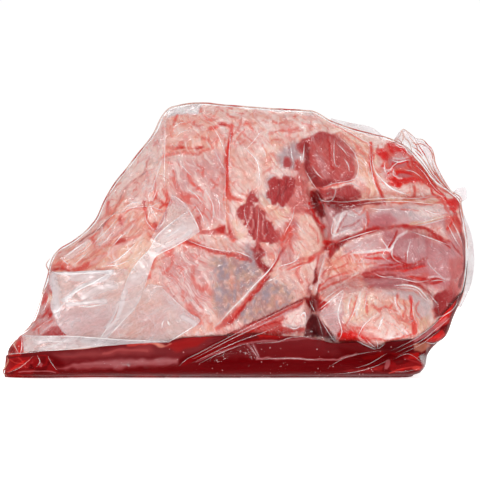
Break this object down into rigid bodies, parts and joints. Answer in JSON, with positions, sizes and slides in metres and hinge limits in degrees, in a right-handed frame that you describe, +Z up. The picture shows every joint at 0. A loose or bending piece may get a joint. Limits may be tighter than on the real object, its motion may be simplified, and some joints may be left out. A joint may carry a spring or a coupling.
{
  "type": "corned beef brisket",
  "caption": "Whole corned beef brisket shut in a clear shrink bag with its brine, standing on its long flat edge.",
  "frame": {"origin": "centre of the bounding box's bottom face, on the surface that the pack stands on", "axes": "+X along the pack towards the folded lobe, -Y out of the shown front face, +Z up"},
  "size_m": [0.3772, 0.1358, 0.219],
  "materials": {
    "bagged_meat": "clear glossy film over pale fat, red meat and dark red brine"
  },
  "bodies": {
    "root": {"sealed_bag": "bagged_meat"}
  },
  "joints": []
}
